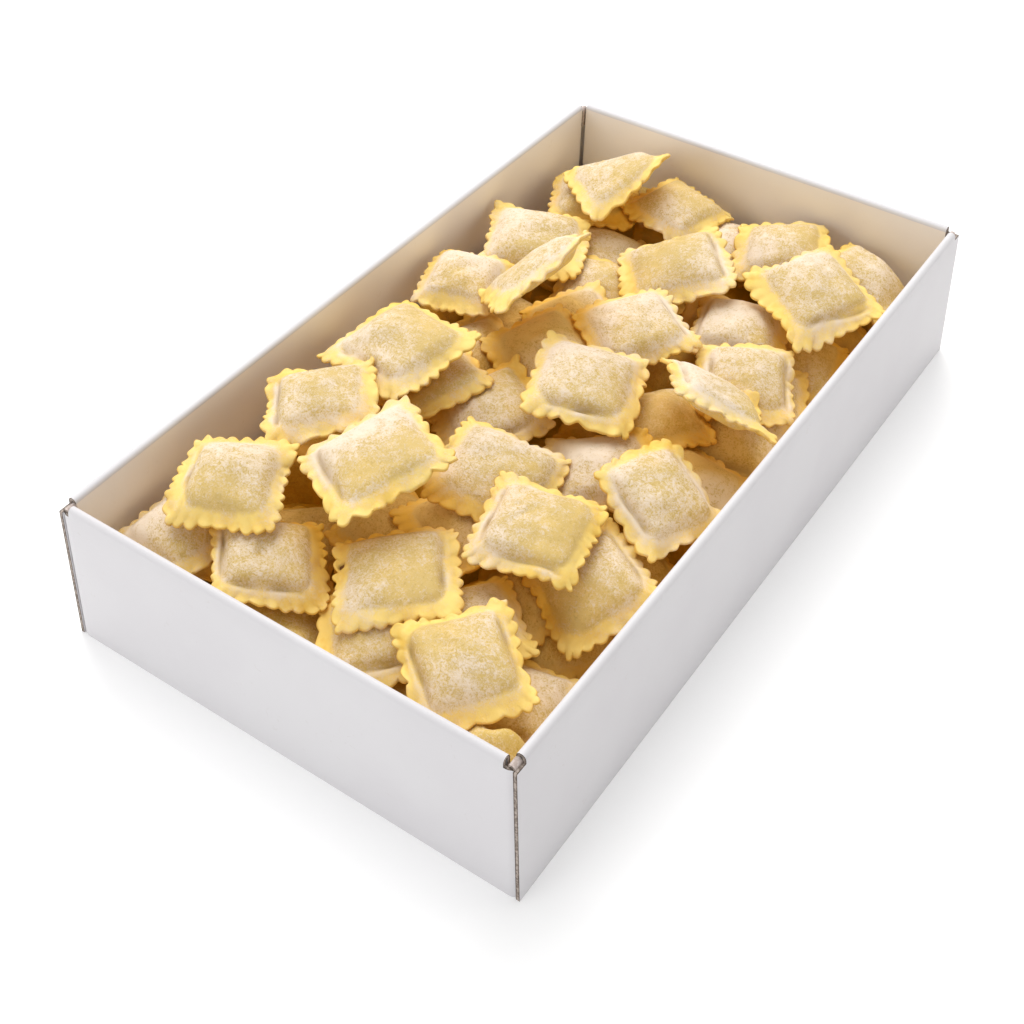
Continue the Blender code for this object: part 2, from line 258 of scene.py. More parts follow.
def raviolo(chance, cells, puff=1.0, shift=(0, 0), creases=(), grain=0.0, belly=1.0):
    """Top and under surface of a raviolo of half side 1 as fields, heights in metres."""
    u, v = grid(cells)
    x, y, out = outline(u, v, chance)
    px, py = x - shift[0], y - shift[1]
    # the pillow rises from a rounded square foot to a round top
    power = chance.uniform(4.5, 8.0)
    ring = (np.abs(px) ** power + np.abs(py) ** power) ** (1 / power)
    ring /= PILLOW * (1 + 0.03 * noise_field(x, y, chance, 4, 5))
    round_ring = np.hypot(px, py) / (PILLOW * 1.12)
    share = np.clip(ring, 0, 1) ** 2
    rise = ring * share + round_ring * (1 - share)
    crisp, crease, groove = creased_sides((x, y), (px, py), creases, chance)
    firm = np.clip(1 - np.clip(rise, 0, 1) ** 2.0, 0, 1) ** 0.66
    soft = np.clip(1 - np.clip(rise / 1.2, 0, 1) ** 1.9, 0, 1) ** 1.45
    mix = 0.15 + 0.85 * crisp
    dome = firm * mix + soft * (1 - mix)
    lumps = 0.09 * noise_field(px, py, chance, 5, 5) + 0.045 * noise_field(x, y, chance, 6, 12)
    top = PILLOW_HEIGHT * puff * dome * (1 + lumps)
    top -= pressed_dips(px, py, chance) * dome
    top += 0.4 * MM * crease - 1.4 * MM * groove
    pillow = smooth(1.15, 0.90, ring)
    top += grain * MM * blurred(chance.normal(0, 1, u.shape)) * (0.35 + 0.65 * pillow)
    uneven = 0.10 * noise_field(x, y, chance, 4, 8) + 0.06 * noise_field(x, y, chance, 5, 20)
    half = 0.5 * RIM * (1 + uneven)
    edge = np.sqrt(np.clip(1 - np.clip((out - 0.95) / 0.05, 0, 1) ** 2, 0, 1))
    under = -UNDER_DEPTH * puff * belly * 0.5 * (1 - np.tanh((ring - 0.86) / 0.18))
    # the rim waves a little, and more towards its edge
    bend = smooth(0.55, 1.0, out) * (
        1.4 * MM * noise_field(x, y, chance, 4, 4.5) + 0.5 * MM * noise_field(x, y, chance, 5, 10)
    )
    bend += smooth(0.8, 1, out) * 0.6 * MM * noise_field(x, y, chance, 4, 22)
    return {
        "x": x, "y": y, "out": out, "ring": ring, "crease": crease, "groove": groove,
        "pillow": pillow, "top": half * edge + top + bend, "under": -half * edge + under + bend,
    }


def closed_faces(cells):
    """Faces of two grids that share their border: the upper one, then the lower one's inside."""
    count = cells + 1
    upper = np.arange(count * count).reshape(count, count)
    lower = upper.copy()
    inner = np.arange((count - 2) ** 2).reshape(count - 2, count - 2)
    lower[1:-1, 1:-1] = inner + count * count
    a, b, c, d = upper[:-1, :-1], upper[1:, :-1], upper[1:, 1:], upper[:-1, 1:]
    faces = [np.stack([a, b, c, d], -1).reshape(-1, 4)]
    a, b, c, d = lower[:-1, :-1], lower[1:, :-1], lower[1:, 1:], lower[:-1, 1:]
    faces.append(np.stack([d, c, b, a], -1).reshape(-1, 4))
    return np.concatenate(faces)


def both(upper, lower):
    """Values for the upper grid, then for the lower grid's inside."""
    return np.concatenate([upper.ravel(), lower[1:-1, 1:-1].ravel()])


# ---------------------------------------------------------------- where each one lies


def node_points(name):
    """A CAD node's separate points."""
    node = frame["nodes"][name].data
    points = np.empty(len(node.vertices) * 3, np.float32)
    node.vertices.foreach_get("co", points)
    return np.unique(np.round(points.reshape(-1, 3).astype(float), 6), axis=0)


class Lie:
    """Centre, axes, half sides, corner bend, puff and offset of a raviolo's solid."""

    def __init__(self, name):
        points = node_points(name)
        # the flat rim gives the plane and the plane gives the rim, so they are found in rounds
        rim = points
        for _ in range(4):
            centre = rim.mean(0)
            normal = np.linalg.svd(rim - centre)[2][2]
            normal *= math.copysign(1, normal[2])
            across = np.cross([0, 1, 0], normal)
            across /= np.linalg.norm(across)
            along = np.cross(normal, across)
            flat = (points - centre) @ np.array([across, along]).T
            # with headings taken four times, all the corners of a square point the same way
            spin = np.sum((flat[:, 0] + 1j * flat[:, 1]) ** 4)
            turn = (np.angle(spin) + math.pi) / 4
            turn = (turn + math.pi / 4) % (math.pi / 2) - math.pi / 4
            self.across = across * math.cos(turn) + along * math.sin(turn)
            self.along = along * math.cos(turn) - across * math.sin(turn)
            flat = (points - centre) @ np.array([self.across, self.along]).T
            low, high = flat.min(0), flat.max(0)
            middle, self.half = (low + high) / 2, (high - low) / 2
            shares = np.abs((flat - middle) / self.half).max(1)
            rim = points[shares > SOLID_RIM]
        self.normal = np.cross(self.across, self.along)
        self.centre = centre + middle[0] * self.across + middle[1] * self.along
        local = (points - self.centre) @ np.array([self.across, self.along, self.normal]).T
        edge = local[shares > SOLID_RIM]
        self.centre = self.centre + edge[:, 2].mean() * self.normal
        local[:, 2] -= edge[:, 2].mean()
        edge = local[shares > SOLID_RIM] / [*self.half, 1]
        # how far each corner of the rim is bent up
        self.corners = np.array(
            [
                [edge[(edge[:, 0] * i > 0.6) & (edge[:, 1] * j > 0.6), 2].mean() for j in (-1, 1)]
                for i in (-1, 1)
            ]
        )
        self.puff = local[:, 2].max() / SOLID_PILLOW
        # the pillow's top tells how far it lies off the middle
        highest = local[local[:, 2] > 0.7 * local[:, 2].max()]
        self.shift = highest[:, :2].mean(0) / self.half

    def tip(self, more, twist):
        """Leans it this much further the way that it leans, in radians, and lifts its left and
        right corners above the other two by the twist."""
        heading = math.atan2(self.across[1], self.across[0])
        for i in (0, 1):
            for j in (0, 1):
                corner = heading + math.atan2(2 * j - 1, 2 * i - 1) - LEFT_TO_RIGHT
                self.corners[i][j] += math.copysign(twist, math.cos(2 * corner))
        level = np.cross([0, 0, 1], self.normal)
        level /= np.linalg.norm(level)

        def turned(v):
            return (
                v * math.cos(more) + np.cross(level, v) * math.sin(more)
                + level * np.dot(level, v) * (1 - math.cos(more))
            )

        self.across, self.along, self.normal = map(turned, (self.across, self.along, self.normal))
        self.centre = self.centre + [0, 0, self.half.mean() * math.sin(more) * 0.5]

    def place(self, shape, height):
        """Points of a surface of the shape, in the row frame."""
        x, y = shape["x"], shape["y"]
        u, v = (x + 1) / 2, (y + 1) / 2
        bend = (
            self.corners[0][0] * (1 - u) * (1 - v) + self.corners[1][0] * u * (1 - v)
            + self.corners[0][1] * (1 - u) * v + self.corners[1][1] * u * v
        )
        return (
            self.centre
            + (x * self.half[0])[..., None] * self.across
            + (y * self.half[1])[..., None] * self.along
            + (height + bend)[..., None] * self.normal
        )


class Heap:
    """Highest and lowest points laid so far, on a fine grid over the carton."""

    def __init__(self, start, pick):
        self.size = tuple(int(size / HEAP_CELL) + 2 * HEAP_MARGIN for size in (WIDTH, LENGTH))
        self.field = np.full(self.size, start, float)
        self.pick = pick

    def cells(self, points):
        across = (points[..., 0] + WIDTH / 2) / HEAP_CELL + HEAP_MARGIN
        along = (points[..., 1] + LENGTH / 2) / HEAP_CELL + HEAP_MARGIN
        across = np.clip(across, 0, self.size[0] - 1)
        return across.astype(int), np.clip(along, 0, self.size[1] - 1).astype(int)

    def add(self, points):
        # each point counts a little way round itself, which leaves no cell empty between two
        for dx in (-0.35, 0.35):
            for dy in (-0.35, 0.35):
                moved = points + [dx * HEAP_CELL, dy * HEAP_CELL, 0]
                self.pick.at(self.field, self.cells(moved), points[..., 2])

    def at(self, points):
        return self.field[self.cells(points)]


def inside_walls(points):
    """Points kept between the carton's inner panels."""
    inset = LEAN_IN * np.clip(points[..., 2] / HEIGHT, 0, 1) + WALL + 0.3 * MM
    points[..., 0] = np.clip(points[..., 0], inset - WIDTH / 2, WIDTH / 2 - inset)
    points[..., 1] = np.clip(points[..., 1], inset - LENGTH / 2, LENGTH / 2 - inset)
    return points


def bend_over(top, under, out, heap, droop):
    """Lifts a piece where it would sink into what it lies on, and lets its rim sag into room."""
    for _ in range(3):
        need = CLEAR - (under[..., 2] - heap.at(under))
        # what stands much higher leans over this piece instead, as a propped neighbour does
        need = np.where(need > MOST_LIFT, 0, np.maximum(need, 0))
        lift = np.maximum(blurred(widened(need, 2), 3), need)
        top[..., 2] += lift
        under[..., 2] += lift
    # the rim sags where more than 0.8 mm of air is left under it, but not into what it lies on
    gap = under[..., 2] - heap.at(under)
    sag = blurred(np.clip(gap - CLEAR - 0.8 * MM, 0, droop), 8) * smooth(0.55, 1.0, out)
    sag = np.minimum(sag, np.clip(gap - CLEAR, 0, 1))
    top[..., 2] -= sag
    under[..., 2] -= sag


# ---------------------------------------------------------------- finishes


class Value:
    """What a shader socket gives. The usual operators each make one Math node."""

    def __init__(self, finish, socket):
        self.finish, self.socket = finish, socket

    def __add__(self, other):
        return self.finish.maths("ADD", self, other)

    def __sub__(self, other):
        return self.finish.maths("SUBTRACT", self, other)

    def __rsub__(self, other):
        return self.finish.maths("SUBTRACT", other, self)

    def __mul__(self, other):
        return self.finish.maths("MULTIPLY", self, other)

    __radd__ = __add__


class Finish:
    """A material, its shader tree built node by node."""

    def __init__(self, name):
        self.material = bpy.data.materials.new(name)
        self.material.use_nodes = True
        self.tree = self.material.node_tree
        self.shader = self.tree.nodes["Principled BSDF"]
        self.place = self.node("ShaderNodeTexCoord", output="Object")

    def put(self, socket, value):
        if isinstance(value, Value):
            self.tree.links.new(value.socket, socket)
        elif isinstance(value, tuple) and len(value) == 3 and socket.type == "RGBA":
            socket.default_value = (*value, 1)
        else:
            socket.default_value = value

    def node(self, kind, inputs=None, output=0, **settings):
        made = self.tree.nodes.new(kind)
        for name, value in settings.items():
            setattr(made, name, value)
        for name, value in (inputs or {}).items():
            self.put(made.inputs[name], value)
        return Value(self, made.outputs[output])

    def maths(self, operation, *values):
        return self.node("ShaderNodeMath", dict(enumerate(values)), operation=operation)

    def blend(self, factor, first, second, kind="MIX"):
        """Between two colours."""
        inputs = {0: factor, 6: first, 7: second}
        return self.node("ShaderNodeMix", inputs, 2, data_type="RGBA", blend_type=kind)

    def ramp(self, value, low, high):
        """0 below low and 1 above high, smooth between."""
        inputs = {"Value": value, "From Min": low, "From Max": high}
        return self.node("ShaderNodeMapRange", inputs, interpolation_type="SMOOTHSTEP")

    def noise(self, size, detail=2.0, distortion=0.0, roughness=0.5):
        """Soft unevenness around 0.5, its patches about this size in metres."""
        inputs = {
            "Vector": self.place, "Scale": 1 / size, "Detail": detail,
            "Distortion": distortion, "Roughness": roughness,
        }
        return self.node("ShaderNodeTexNoise", inputs)

    def attribute(self, name):
        return self.node("ShaderNodeAttribute", output="Fac", attribute_name=name)

    def bump(self, height, depth, strength=1.0):
        inputs = {"Height": height, "Distance": depth, "Strength": strength}
        self.put(self.shader.inputs["Normal"], self.node("ShaderNodeBump", inputs))

    def end(self, colour, roughness, **others):
        self.put(self.shader.inputs["Base Color"], colour)
        self.put(self.shader.inputs["Roughness"], roughness)
        for name, value in others.items():
            self.put(self.shader.inputs[name.replace("_", " ")], value)
        return self.material


def pasta_finish(name, rim, dough, grain, powder, painted_shade_colour):
    """Egg pasta: yellow rims, duller dough over the filling, flour dusted on both, painted shade and a
    faint painted glow.
    """
    f = Finish(name)
    pillow, flour, painted_depth_shade = f.attribute("pillow"), f.attribute("flour"), f.attribute("painted_depth_shade")
    cut, groove = f.attribute("cut"), f.attribute("groove")
    broad, patch = f.noise(0.016, 3), f.noise(0.005, 3)
    clump, fine = f.noise(0.0015, 3, 1.2, 0.62), f.noise(0.0006, 2, 0.4, 0.6)
    fibre = f.noise(0.0014, 2, 2.4, 0.55)
    golden = f.ramp(broad * 0.5 + patch * 0.5, 0.44, 0.62)
    rims = f.blend(golden, rim, tinted(rim, 0.95, 0.85, 0.52))
    gold = tinted(rim, 0.84, 0.80, 0.85)
    body = f.blend(f.ramp(patch * 0.5 + broad * 0.5, 0.40, 0.66) * 0.75, dough, gold)
    body = f.blend(f.ramp(clump * 0.7 + fine * 0.3, 0.46, 0.34) * 0.45, body, grain)
    colour = f.blend(f.ramp(pillow + (patch - 0.5) * 0.9, 0.15, 0.85), rims, body)
    colour = f.blend(cut * 0.7, colour, tinted(rim, 0.82, 0.64, 0.35))
    # short threads and clumps of flour, closer together where more of it lies
    threads = f.ramp(f.maths("ABSOLUTE", fibre * 2 - 1), 0.15, 0.02)
    clumps = (clump - 0.5) * 1.7 + (fine - 0.5) * 1.1 + threads * 0.20
    clumps = clumps * (0.3 + pillow * 0.7)
    dust = flour * 0.95 + 0.05 + (patch - 0.5) * 0.85 + clumps * 0.9
    # less flour shows where painted shade lies low in the heap
    cover = f.ramp(dust, 0.14, 0.86) * (1 - painted_depth_shade * 0.15)
    colour = f.blend(cover * 0.88, colour, powder)
    # painted shade in the creases' grooves
    colour = f.blend(groove * 0.7, colour, tinted(dough, 0.52, 0.44, 0.42))
    # painted shade, nearly black, in a pressed hole
    colour = f.blend(f.ramp(groove, 1.05, 1.3), colour, tinted(dough, 0.20, 0.10, 0.05))
    # painted shade: darker and warmer the further a point lies below the heap's level round it
    colour = f.blend(painted_depth_shade, colour, f.blend(1.0, colour, painted_shade_colour, "MULTIPLY"))
    f.bump(clump * 0.5 + fine * 0.3 + cover * 0.4 + threads * 0.1, 0.35 * MM, 0.6)
    roughness = 0.56 + cover * 0.27 - cut * 0.08
    # a faint painted warm glow over all the pasta stands in for light coming through the thin dough
    through = {"Emission_Color": (1.0, 0.50, 0.0), "Emission_Strength": 0.016}
    return f.end(colour, roughness, Specular_IOR_Level=0.35, **through)


def tinted(colour, *shares):
    return tuple(c * share for c, share in zip(colour, shares))


def card_finish(name, white, scuffed, glow=0.0):
    """White-faced corrugated board, faintly mottled and ribbed by the flutes inside it, with an
    optional painted glow.
    """
    f = Finish(name)
    broad, fine = f.noise(0.05, 3), f.noise(0.002, 3)
    colour = f.blend(f.ramp(broad, 0.35, 0.65), tinted(white, 0.97, 0.965, 0.97), white)
    scuff = f.ramp(f.noise(0.004, 4, 1.5), 0.66, 0.74)
    colour = f.blend(scuff * 0.15, colour, scuffed)
    f.bump(broad * 2.0 + fine * 0.15, 0.4 * MM, 0.5)
    # a faint painted warm glow, for light bounced onto the board
    lit = {"Emission_Color": (1.0, 0.84, 0.64), "Emission_Strength": glow}
    return f.end(colour, 0.55, Specular_IOR_Level=0.3, **lit)


def raw_finish(name, dark, light):
    """The brown cut edge of the board."""
    f = Finish(name)
    fine = f.noise(0.0012, 3)
    f.bump(fine, 0.3 * MM)
    return f.end(f.blend(f.ramp(fine, 0.4, 0.6), dark, light), 0.85)


PASTA = pasta_finish(
    "egg_pasta",
    rim=(0.95, 0.70, 0.21),
    dough=(0.67, 0.48, 0.165),
    grain=(0.45, 0.30, 0.08),
    powder=(0.88, 0.755, 0.63),
    painted_shade_colour=(0.92, 0.72, 0.28),
)
# the same pasta, painted darker and more amber for the ravioli low in the heap: painted shade
SHADE = pasta_finish(
    "pasta_in_shade",
    rim=(0.97, 0.69, 0.14),
    dough=(0.70, 0.49, 0.13),
    grain=(0.45, 0.28, 0.05),
    powder=(0.90, 0.74, 0.50),
    painted_shade_colour=(0.64, 0.42, 0.06),
)
CARD = card_finish("white_card", white=(0.735, 0.722, 0.737), scuffed=(0.55, 0.50, 0.46))
# the card's inside: painted warmer and lighter than its outside, with a painted glow, for light
# bounced off the pasta
INNER_CARD_PAINTED_WARM = card_finish("inner_card_painted_warm", white=(0.85, 0.80, 0.745), scuffed=(0.62, 0.52, 0.42), glow=0.05)
# the board's own brown, painted darker for the shade on the seams
LINER = raw_finish("board_liner", dark=(0.07, 0.05, 0.04), light=(0.16, 0.12, 0.09))
FLUTE = raw_finish("board_flute", dark=(0.22, 0.175, 0.145), light=(0.46, 0.39, 0.34))
FOLD = raw_finish("folded_loop", dark=(0.50, 0.41, 0.37), light=(0.66, 0.57, 0.53))


# ---------------------------------------------------------------- carton


OUTSIDE, INSIDE, DARK, LIGHT, FOLDED = range(5)  # which of the carton's finishes a face takes


def strip(path, thickness):
    """Both faces of a strip of board that follows a path in a plane: outer points, inner points."""
    path = np.array(path, float)
    step = np.gradient(path, axis=0)
    step /= np.linalg.norm(step, axis=1)[:, None]
    side = np.stack([-step[:, 1], step[:, 0]], 1) * thickness / 2
    return path + side, path - side


def rolled_path(foot, top, width, board, inner_foot):
    """Up the outside, over the rim and down the inside: (inwards, up) from the outer foot."""
    middle, inner, radius = board / 2, width - board / 2, min(1.3 * MM, (width - board) / 2)
    arc = np.linspace(0, math.pi / 2, 5)[1:]
    points = [(middle, z) for z in np.linspace(foot, top - radius, 9)]
    points += [(middle + radius * (1 - math.cos(t)), top - radius * (1 - math.sin(t))) for t in arc]
    points += [
        (inner - radius * (1 - math.cos(t)), top - radius * (1 - math.sin(t))) for t in arc[::-1]
    ]
    points += [(inner, z) for z in np.linspace(top - radius, inner_foot, 9)]
    return points


def swept(path, thickness, stations, place):
    """A strip of board swept through stations, its cut edges showing two liners and the flutes."""
    outer, inner = strip(path, thickness)
    plies = np.array([0, 0.22, 0.78, 1])
    over_rim = len(outer) // 2 + 4  # the white face ends where the rim meets the inner panel
    points, faces, which = [], [], []

    def patch(grid_points, kinds, turned):
        start = len(points)
        a, b = grid_points.shape[:2]
        points.extend(grid_points.reshape(-1, 3))
        for i in range(a - 1):
            for j in range(b - 1):
                k = start + i * b + j
                face = (k, k + 1, k + b + 1, k + b)
                faces.append(face[::-1] if turned else face)
                which.append(kinds(i, j))

    def along(side):
        return np.array([[place(p, s) for p in side] for s in stations])

    patch(along(outer), lambda i, j: OUTSIDE if j < over_rim else INSIDE, True)
    patch(along(inner), lambda i, j: OUTSIDE, False)
    layers = outer[:, None] * (1 - plies[:, None]) + inner[:, None] * plies[:, None]
    for station, turned in ((stations[0], True), (stations[-1], False)):
        cut = np.array([[place(p, station) for p in row] for row in layers])
        patch(cut, lambda i, j: LIGHT if j == 1 else DARK, turned)
    for row, turned in ((0, False), (-1, True)):
        foot = np.array([[place(p, s) for p in layers[row]] for s in stations])
        patch(foot, lambda i, j: LIGHT if j == 1 else DARK, turned)
    return np.array(points), faces, which


def wall(side, axis, low, high, board=BOARD, steps=40, path=None):
    """One rolled wall, or a stretch of it that follows another path: axis 0 for the long walls,
    1 for the short ones; side -1 or 1; from low to high along it."""
    path = path or rolled_path(0.0, HEIGHT - board / 2, WALL, board, BOARD)
    size, run = ((WIDTH / 2, LENGTH / 2), (LENGTH / 2, WIDTH / 2))[axis]

    def place(point, share):
        inwards, up = point
        lean = LEAN_IN * up / HEIGHT
        # the short walls belly out less, and turn in a little at their ends
        bow = BOW * (1 - (share / run) ** 2) * up / HEIGHT * (0.4 if axis else 1)
        turned_in = 0.9 * MM * smooth(run - 4 * MM, run - 1 * MM, abs(share)) if axis else 0
        reach = side * (size - lean - inwards + bow - turned_in)
        along = share * (1 - lean / run)
        return (along, reach, up) if axis else (reach, along, up)

    points, faces, which = swept(path, board, np.linspace(low, high, steps), place)
    if (side > 0) == (axis == 0):
        faces = [face[::-1] for face in faces]
    return points, faces, which


def merged(parts):
    points, faces, which, start = [], [], [], 0
    for p, f, w in parts:
        points.append(p)
        faces += [tuple(i + start for i in face) for face in f]
        which += list(w)
        start += len(p)
    return np.concatenate(points), faces, which


def slab(low, high):
    """A plain box between two corners."""
    points = [
        (x, y, z)
        for z in (low[2], high[2])
        for x, y in ((low[0], low[1]), (high[0], low[1]), (high[0], high[1]), (low[0], high[1]))
    ]
    sides = [(i, (i + 1) % 4, (i + 1) % 4 + 4, i + 4) for i in range(4)]
    return np.array(points), [(3, 2, 1, 0), (4, 5, 6, 7), *sides], [INSIDE] * 6


def corner_parts(side, end):
    """What stands in the gap between two rolled rims: the ends of both outer panels, cut lower than
    the rims, and the small folded loop on the long one."""
    low = HEIGHT - CORNER_DROP
    upright = [(BOARD / 2, z) for z in np.linspace(0, low, 9)]
    loop = rolled_path(low - LOOP_HEIGHT, HEIGHT - 2.2 * MM, LOOP_WIDTH, LOOP_BOARD, low - LOOP_HEIGHT)
    loop = [(inwards + 1.2 * MM, up) for inwards, up in loop]
    inner, short_inner = end * (LENGTH / 2 - NOTCH), end * (WIDTH / 2 - NOTCH)
    panel = sorted((end * (LENGTH / 2 - 0.15 * MM), inner))
    fold = sorted((end * (LENGTH / 2 - 1.0 * MM), inner))
    short_panel = sorted((end * (WIDTH / 2 - BOARD - 0.25 * MM), short_inner))
    points, faces, which = wall(side, 0, *fold, board=LOOP_BOARD, steps=3, path=loop)
    return [
        wall(side, 0, *panel, steps=3, path=upright),
        (points, faces, [k if k > INSIDE else FOLDED for k in which]),
        wall(side, 1, *short_panel, steps=5, path=upright),
    ]


def make_carton():
    """Long walls whose outer panels run the full length and show their cut ends; short walls
    between them. Every rolled rim stops short of its corner, where a small folded loop shows."""
    parts = []
    for side in (-1, 1):
        parts.append(wall(side, 0, NOTCH - LENGTH / 2, LENGTH / 2 - NOTCH))
        parts.append(wall(side, 1, NOTCH - WIDTH / 2, WIDTH / 2 - NOTCH, steps=24))
        for end in (-1, 1):
            parts += corner_parts(side, end)
    inset = np.array([1 * MM, 1 * MM, 0])
    low_corner = np.array([-WIDTH / 2, -LENGTH / 2, 0.1 * MM]) + inset
    high_corner = np.array([WIDTH / 2, LENGTH / 2, 1.2 * MM]) - inset
    parts.append(slab(low_corner, high_corner))
    points, faces, which = merged(parts)
    made = mesh_object("carton_card", points, faces, None, (CARD, INNER_CARD_PAINTED_WARM, LINER, FLUTE, FOLD), which)
    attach(made, "root")
    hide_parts("carton")


# ---------------------------------------------------------------- the heap


# Flour from 0 for bare to 1 for white, and the sides whose pillow ends in a crease, counted as
# the camera sees them. Any raviolo that isn't named gets its own by chance.
SIDES_SEEN = {"right": 35, "far": 125, "left": 215, "near": 305}
LOOKS = {
    1: (0.36, "right left"),
    2: (0.40, "left near"),
    3: (0.62, "left"),
    4: (0.34, "right"),
    5: (0.58, "near"),
    6: (0.56, "left right"),
    7: (0.48, "left"),
    8: (0.52, "left"),
    9: (0.66, "left right"),
    10: (0.48, "far near"),
    11: (0.55, ""),
    12: (0.64, ""),
    13: (0.72, "right"),
    14: (0.50, "far"),
    15: (0.44, "left"),
    16: (0.44, "left near"),
    17: (0.38, "right"),
    18: (0.46, "right"),
    19: (0.70, ""),
    20: (0.50, ""),
    21: (0.52, "left right"),
    22: (0.44, ""),
    23: (0.44, ""),
    24: (0.28, ""),
    25: (0.30, ""),
}
# These stand on their neighbours: how many degrees further they lean, and in millimetres how far
# their left and right corners twist up and how far they are moved, as 11 is to the far wall
PROPPED = {9: (14, 0, (0, 0, 0)), 11: (0, 7.5, (-1, 4, 2)), 12: (12, 1.5, (0, 0, 0))}
PROPPED_PUFF, PROPPED_BELLY = 0.62, 2.8  # flatter on top and fuller below, as shares of the usual
LEFT_TO_RIGHT = math.radians(12)  # heading from their left corner to their right one
HOLED = {4: ("left", "far")}  # a small hole in this rim, towards this end of it
FLOUR_AND_HIGHLIGHT_SIDE = math.radians(160)  # flour lies thicker on slopes that face this way, and a painted highlight falls on them


def looks_of(number, lie, chance):
    """(flour, creases) of a raviolo, each crease as its side and strength."""
    flour, sides = LOOKS.get(number, (chance.uniform(0.45, 0.85), ""))
    if number not in LOOKS:
        return flour, [(side, chance.uniform(0.3, 0.9)) for side in chance.permutation(4)[:1]]
    heading = math.atan2(lie.across[1], lie.across[0])
    creases = []
    for word in sides.split():
        turn = math.radians(SIDES_SEEN[word]) - heading
        creases.append((round(turn / (math.pi / 2)) % 4, chance.uniform(0.75, 1.0)))
    return flour, creases


def press_hole(shape, side, end, lie):
    """A small hole pressed into a rim, a third of the way from its middle to that end, with painted
    shade in it.
    """
    x, y = shape["x"], shape["y"]
    for word, share in ((side, 0.80), (end, 0.33)):
        turn = math.radians(SIDES_SEEN[word]) - math.atan2(lie.across[1], lie.across[0])
        turn = round(turn / (math.pi / 2)) * math.pi / 2
        x, y = x - share * math.cos(turn), y - share * math.sin(turn)
    hole = smooth(0.075, 0.035, np.hypot(x, y))
    shape["top"] -= 1.2 * MM * hole
    # above 1.05 the finish paints the hole nearly black: painted shade
    shape["groove"] = np.maximum(shape["groove"], 1.4 * hole)


def flour_over(shape, flour, lie, chance):
    """How thickly flour lies on each point of a raviolo's top: more on the pillow, on slopes that face
    FLOUR_AND_HIGHLIGHT_SIDE (part real flour, part painted highlight), round the pillow's foot and
    along its creases."""
    heading = math.atan2(lie.across[1], lie.across[0])
    x, y, ring = shape["x"], shape["y"], shape["ring"]
    # slopes facing this side get more white: part flour, part painted highlight
    towards = x * math.cos(FLOUR_AND_HIGHLIGHT_SIDE - heading) + y * math.sin(FLOUR_AND_HIGHLIGHT_SIDE - heading)
    patches = 0.16 * noise_field(x, y, chance, 5, 4)
    amount = shape["pillow"] * (0.72 + 0.42 * towards) + 0.36 * (1 - shape["pillow"])
    foot = np.exp(-(((ring - 1.05) / 0.12) ** 2))
    return flour * (amount + 0.30 * foot) + patches + 0.45 * shape["crease"] * (0.4 + flour)


def shape_of(number, lie):
    """The raviolo of this number with its flour. One that is propped is tipped first."""
    chance = np.random.default_rng(100 + number)
    flour, creases = looks_of(number, lie, chance)
    puff, belly = lie.puff, 1.0
    if number in PROPPED:
        lean, twist, move = PROPPED[number]
        lie.tip(math.radians(lean), twist * MM)
        lie.centre = lie.centre + np.array(move) * MM
        puff, belly = PROPPED_PUFF * puff, PROPPED_BELLY
    shape = raviolo(chance, CELLS, puff, lie.shift, creases, GRAIN, belly)
    shape["flour"] = flour_over(shape, flour, lie, chance)
    if number in HOLED:
        press_hole(shape, *HOLED[number], lie)
    return shape


def make_heap():
    names = sorted(n for n in frame["nodes"] if n.startswith("raviolo_"))
    lies = {name: Lie(name) for name in names}
    shapes = {name: shape_of(number, lies[name]) for number, name in enumerate(names, start=1)}
    ceiling = Heap(200 * MM, np.minimum)
    for name in names:
        ceiling.add(lies[name].place(shapes[name], shapes[name]["under"]))
    heap = Heap(BOTTOM, np.maximum)
    filling = lay_filling(heap, ceiling)
    laid = {}
    for name in reversed(names):
        lie, shape = lies[name], shapes[name]
        top = inside_walls(lie.place(shape, shape["top"]))
        under = inside_walls(lie.place(shape, shape["under"]))
        bend_over(top, under, shape["out"], heap, DROOP)
        heap.add(top)
        laid[name] = (shape, top, under)
    level = level_of(heap)
    make_filling(filling, heap, level)
    faces = closed_faces(CELLS)
    for name, (shape, top, under) in laid.items():
        piece = mesh_object(
            name + "_pasta",
            np.concatenate([top.reshape(-1, 3), under[1:-1, 1:-1].reshape(-1, 3)]),
            faces,
            finish_values(shape, top, under, heap, level),
            (PASTA,),
        )
        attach(piece, "root")
        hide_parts(name)


def level_of(heap):
    """The heap's mean height round each place, leaving out its bare surroundings."""
    full = (heap.field > 5 * MM).astype(float)
    filled = np.maximum(blurred(full, LEVEL_SPREAD), 0.05)
    return blurred(heap.field * full, LEVEL_SPREAD) / filled


def finish_values(shape, top, under, heap, level):
    """What the pasta finish reads at each point."""
    cut = smooth(0.972, 0.995, shape["out"])
    none = np.zeros_like(cut)

    # painted shade, from 0 at the heap's level round a point to 1 at its darkest
    def painted_depth_shade(surface):
        below = level[heap.cells(surface)] - surface[..., 2] - 1 * MM
        return np.clip(below / DARKEST_SHADE_DEPTH, 0, 1) ** 1.2

    return {
        "pillow": both(shape["pillow"], 0.4 * shape["pillow"]),
        "flour": both(shape["flour"], 0.5 * shape["flour"]),
        "groove": both(shape["groove"], none),
        "cut": both(cut, cut),
        "painted_depth_shade": both(painted_depth_shade(top), painted_depth_shade(under)),
    }


